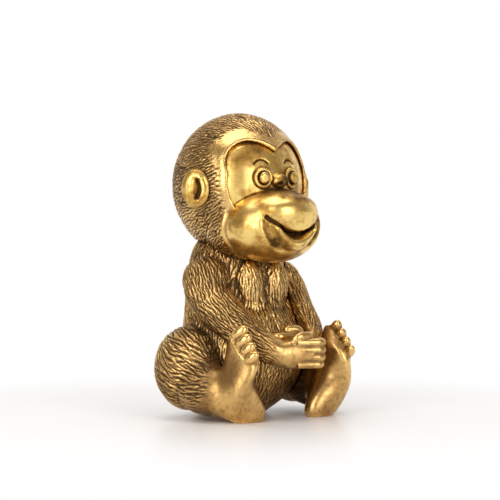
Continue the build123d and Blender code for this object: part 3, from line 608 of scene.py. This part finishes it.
for side in (-1, 1):
    ends = [(side * x, upper_lip_edge(x, 91.4)) for x in (8, 10, 12, 13.5, 14.8, 15.8, 16.5)]
    parting = np.maximum(parting, line(muzzle_places, on_front(muzzle_tree, ends), 1.5 * mm))
parting_depth = 1.1 * mm
muzzle_places, _ = move_to(muzzle, muzzle_places - muzzle_normals * (parting_depth * parting)[:, None])
x, _, z = muzzle_places.T / mm
# Painted shade: under the nose, towards the bottom of the muzzle, inside the mouth, along the parting and at
# the fold's edge.
under_nose_and_bottom_shade = 0.5 * np.exp(-((x / 12) ** 2) - (((z - 111) / 5) ** 2)) + 0.2 * smooth_step(-z, -86, -79)
inside_mouth = smooth_step(depth_in, 1.6, 3.0) * (from_mouth < 0.6) * in_front
jaw_shade = 0.3 * jaw + 0.9 * jaw * (1 - jaw)
shadow = np.maximum.reduce((inside_mouth, jaw_shade, 0.9 * parting, under_nose_and_bottom_shade))
muzzle_shade = 1.15 * averaged(muzzle, shadow, 3) + 0.03
polish(muzzle, "muzzle", ["head_shell"], muzzle_shade, smooth_brass)


# Ears: cupped brass shells with a rolled rim and an inner fold, each cast with a tenon that goes through the
# side of the head. They are polished, and the slit beside the fold is left dark.
ear_turn = radians(51)
upward = np.array((0.0, 0.0, 1.0))
for side, name in ((-1, "right_ear"), (1, "left_ear")):
    ear = fine_mesh(name + "_cast", cad_copy(name), voxel=0.22 * mm)
    ear_places, ear_normals = move_to(ear, averaged(ear, surface(ear)[0], 6))
    ear_middle = np.array((side * 34.5, -7.8, 112.9)) * mm
    outward = np.array((side * cos(ear_turn), sin(ear_turn), 0.0))
    facing = np.array((side * sin(ear_turn), -cos(ear_turn), 0.0))
    aside, above, ahead = ((ear_places - ear_middle) @ axis / mm for axis in (outward, upward, facing))
    facing_out = smooth_step(ear_normals @ facing, 0.1, 0.5)
    dome_height, dome_half_width, dome_half_height = 2.9, 7.2, 9.5
    under_dome = 1 - (aside / dome_half_width) ** 2 - (above / dome_half_height) ** 2
    dome = dome_height * np.sqrt(np.clip(under_dome, 0, 1))
    fill = smooth_step(aside, -1.4, 2.2) * facing_out * (dome > ahead)
    ear_places, _ = move_to(ear, ear_places + np.outer((dome - ahead) * fill, facing) * mm)
    ear_places, ear_normals = move_to(ear, averaged(ear, ear_places, 10))
    inner = facing_out * smooth_step(-np.abs(above), -5.6, -3.6)
    ridge = np.exp(-(((aside + 4.0 - 0.05 * above**2) / 1.0) ** 2)) * inner
    slit = np.exp(-(((aside + 1.9 - 0.06 * above**2) / 0.8) ** 2)) * inner
    ridge_height, slit_depth = 0.9, 0.8
    move_to(ear, ear_places + ear_normals * ((ridge_height * ridge - slit_depth * slit) * mm)[:, None])
    polish(ear, name, ["head_shell"], 0.16 + 0.7 * slit, smooth_brass)


# Arms and hands: solid brass limbs in the same fur, dowelled to the shoulders. The hands are cast apart,
# dowelled on and chased over at the wrists, where the fur thins out and the metal is bare.
arm_routes = {
    "right": (
        (-26.6, -6.0, 67.9),
        (-26.6, -10.3, 58.0),
        (-21.1, -19.1, 47.6),
        (-14.6, -29.9, 38.5),
        (-7.5, -39.0, 32.6),
    ),
    "left": (
        (21.4, -4.3, 65.0),
        (23.1, -10.3, 56.8),
        (21.4, -20.0, 47.6),
        (19.8, -28.5, 39.6),
        (15.9, -33.3, 35.2),
    ),
}
for side, seed in (("right", 31), ("left", 41)):
    route = np.array(arm_routes[side]) * mm
    middles, steps = (route[1:] + route[:-1]) / 2, route[1:] - route[:-1]

    def along_arm(place):
        """Flow of the arm's fur: along the nearest stretch of its route, to the hand."""
        return steps[np.argmin(np.linalg.norm(middles - place, axis=1))] / (10 * mm)

    arm = fine_mesh(side + "_arm_cast", cad_copy(side + "_arm", side + "_hand"), voxel=0.31 * mm)
    arm_places, _ = move_to(arm, averaged(arm, surface(arm)[0], 6))
    from_hand = distance_to(arm_places, side + "_hand", 14 * mm) / mm
    from_arm = distance_to(arm_places, side + "_arm", 14 * mm) / mm
    wrist = smooth_step(-np.maximum(from_hand, from_arm), -4.0, -1.0)
    move_to(arm, softened(arm, wrist, 160))
    arm_share = smooth_step(from_hand, 0.5, 9)
    cast_fur(
        arm,
        [side + "_arm", side + "_hand"],
        flow=along_arm,
        share=arm_share,
        lock=(10 * mm, 1.35 * mm, 0.7 * mm),
        tone=0.33 - 0.06 * arm_share,
        neighbours=["torso_shell"] if side == "right" else [],
        seed=seed,
    )


# Legs and feet: solid brass haunches with long wavy fur, dowelled to the hips. The feet are cast apart,
# dowelled on and chased over at the ankles. Shins and feet are bare, with the grain of the mould.
def over_haunch(place):
    """Flow of the leg's fur: over the haunch, forward and down to the shin."""
    return np.array((0.0, -0.7, -0.5)) + np.array((0.0, 1.0, -1.0)) * (place[1] / (40 * mm))


for side, seed in (("right", 51), ("left", 61)):
    leg = fine_mesh(side + "_leg_cast", cad_copy(side + "_leg", side + "_foot"), voxel=0.38 * mm)
    leg_places, _ = move_to(leg, averaged(leg, surface(leg)[0], 6))
    from_foot = distance_to(leg_places, side + "_foot", 20 * mm) / mm
    from_leg = distance_to(leg_places, side + "_leg", 20 * mm) / mm
    ankle = smooth_step(-np.maximum(from_foot, from_leg), -9.0, -3.0)
    leg_places, _ = move_to(leg, softened(leg, ankle, 400))
    cast_fur(
        leg,
        [side + "_leg", side + "_foot"],
        flow=over_haunch,
        share=smooth_step(from_foot, 3, 13) * smooth_step(leg_places[:, 2], 3 * mm, 13 * mm),
        lock=(14 * mm, 1.7 * mm, 0.9 * mm),
        tone=0.24 + 0.42 * smooth_step(from_foot, 1, 5) - 0.36 * smooth_step(from_foot, 8, 16),
        neighbours=["torso_shell"],
        seed=seed,
    )


# Pins, plate and screws: drawn brass pins and dowels hold the sections together. A turned brass plate closes
# the core opening under the rump, and countersunk steel screws hold it.
pin_brass = worn_metal(
    "pin_brass",
    bright=(0.36, 0.215, 0.085),
    middle=(0.28, 0.165, 0.065),
    dark=(0.08, 0.045, 0.02),
    bright_roughness=0.34,
    stain=0.3,
    pitting=0.2,
    cloud_scale=200,
    grain_scale=1500,
    grain_height=0.03 * mm,
)
dowels = ("muzzle_dowels", "shoulder_dowels", "hip_dowels", "wrist_dowels", "ankle_dowels")
for node in ("base_plate", "neck_pins", *dowels):
    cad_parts[node].data.materials.clear()
    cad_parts[node].data.materials.append(pin_brass)
screw_steel = worn_metal(
    "screw_steel",
    bright=(0.56, 0.56, 0.57),
    middle=(0.4, 0.4, 0.4),
    dark=(0.12, 0.11, 0.1),
    bright_roughness=0.3,
    stain=0.2,
    pitting=0.1,
    cloud_scale=300,
    grain_scale=2500,
    grain_height=0.02 * mm,
)
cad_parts["base_screws"].data.materials.clear()
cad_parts["base_screws"].data.materials.append(screw_steel)


# Stage: a plain white table that fades into a white backdrop, three soft lights and the photograph's camera.
# The room is white behind the figure, and dim and warm in front of it.
bpy.ops.mesh.primitive_plane_add(size=8.0)
floor = bpy.context.object
floor.name = "floor"
paper = bpy.data.materials.new("white_table")
paper.use_nodes = True
nodes, links = paper.node_tree.nodes, paper.node_tree.links
table = nodes["Principled BSDF"]
table.inputs["Base Color"].default_value = (0.86, 0.86, 0.87, 1)
table.inputs["Roughness"].default_value = 0.35
place = nodes.new("ShaderNodeTexCoord")
away = nodes.new("ShaderNodeVectorMath")
away.operation = "LENGTH"
links.new(place.outputs["Object"], away.inputs[0])
fade = nodes.new("ShaderNodeMapRange")
fade.interpolation_type = "SMOOTHSTEP"
fade.inputs["From Min"].default_value = 0.06
fade.inputs["From Max"].default_value = 0.24
links.new(away.outputs["Value"], fade.inputs["Value"])
ray = nodes.new("ShaderNodeLightPath")
glossy = nodes.new("ShaderNodeMath")
glossy.operation = "MAXIMUM"
links.new(ray.outputs["Is Camera Ray"], glossy.inputs[0])
links.new(ray.outputs["Is Glossy Ray"], glossy.inputs[1])
clear = nodes.new("ShaderNodeMath")
clear.operation = "MAXIMUM"
links.new(glossy.outputs["Value"], clear.inputs[0])
links.new(ray.outputs["Is Transmission Ray"], clear.inputs[1])
seen = nodes.new("ShaderNodeMath")
seen.operation = "MULTIPLY"
links.new(fade.outputs["Result"], seen.inputs[0])
links.new(clear.outputs["Value"], seen.inputs[1])
white = nodes.new("ShaderNodeEmission")
mix = nodes.new("ShaderNodeMixShader")
links.new(seen.outputs["Value"], mix.inputs["Fac"])
links.new(table.outputs["BSDF"], mix.inputs[1])
links.new(white.outputs["Emission"], mix.inputs[2])
links.new(mix.outputs["Shader"], nodes["Material Output"].inputs["Surface"])
floor.data.materials.append(paper)

view_azimuth = radians(-40)
back = Vector((sin(view_azimuth), -cos(view_azimuth), 0))

world = bpy.context.scene.world or bpy.data.worlds.new("studio")
bpy.context.scene.world = world
world.use_nodes = True
nodes, links = world.node_tree.nodes, world.node_tree.links
room = nodes["Background"]
place = nodes.new("ShaderNodeTexCoord")
behind = nodes.new("ShaderNodeVectorMath")
behind.operation = "DOT_PRODUCT"
behind.inputs[1].default_value = -back
links.new(place.outputs["Generated"], behind.inputs[0])
shade = nodes.new("ShaderNodeValToRGB")
shade.color_ramp.elements[0].position = 0.0
shade.color_ramp.elements[0].color = (0.3, 0.24, 0.18, 1)
shade.color_ramp.elements[1].position = 0.7
shade.color_ramp.elements[1].color = (1, 1, 1, 1)
links.new(behind.outputs["Value"], shade.inputs["Fac"])
links.new(shade.outputs["Color"], room.inputs["Color"])


def softbox(name, place, size, brightness):
    """Soft rectangular light aimed at the figure, of a given brightness whatever its size."""
    light = bpy.data.lights.new(name, "AREA")
    light.shape = "RECTANGLE"
    light.size, light.size_y = size
    light.energy = brightness * size[0] * size[1] * pi
    lamp = bpy.data.objects.new(name, light)
    lamp.location = place
    lamp.rotation_euler = (Vector((0, 0, 0.08)) - Vector(place)).to_track_quat("-Z", "Y").to_euler()
    bpy.context.scene.collection.objects.link(lamp)


softbox("left_box", (-0.88, -0.36, 0.40), (0.6, 0.8), 3.6)
softbox("right_box", (-0.08, -1.0, 0.30), (0.5, 0.8), 3.4)
softbox("top_box", (-0.05, 0.0, 0.95), (0.7, 0.7), 2.6)

aim_aside, aim_height, camera_height, camera_distance = 5, 82, 0.118, 1.130
aim = Vector((aim_aside * cos(view_azimuth), aim_aside * sin(view_azimuth), aim_height)) * mm
camera_data = bpy.data.cameras.new("camera")
camera_data.sensor_width = 36
camera_data.lens = 162.7
camera = bpy.data.objects.new("camera", camera_data)
camera.location = Vector((aim.x, aim.y, camera_height)) + back * camera_distance
camera.rotation_euler = (aim - camera.location).to_track_quat("-Z", "Y").to_euler()
bpy.context.scene.collection.objects.link(camera)
bpy.context.scene.camera = camera
bpy.context.scene.view_settings.view_transform = "Standard"
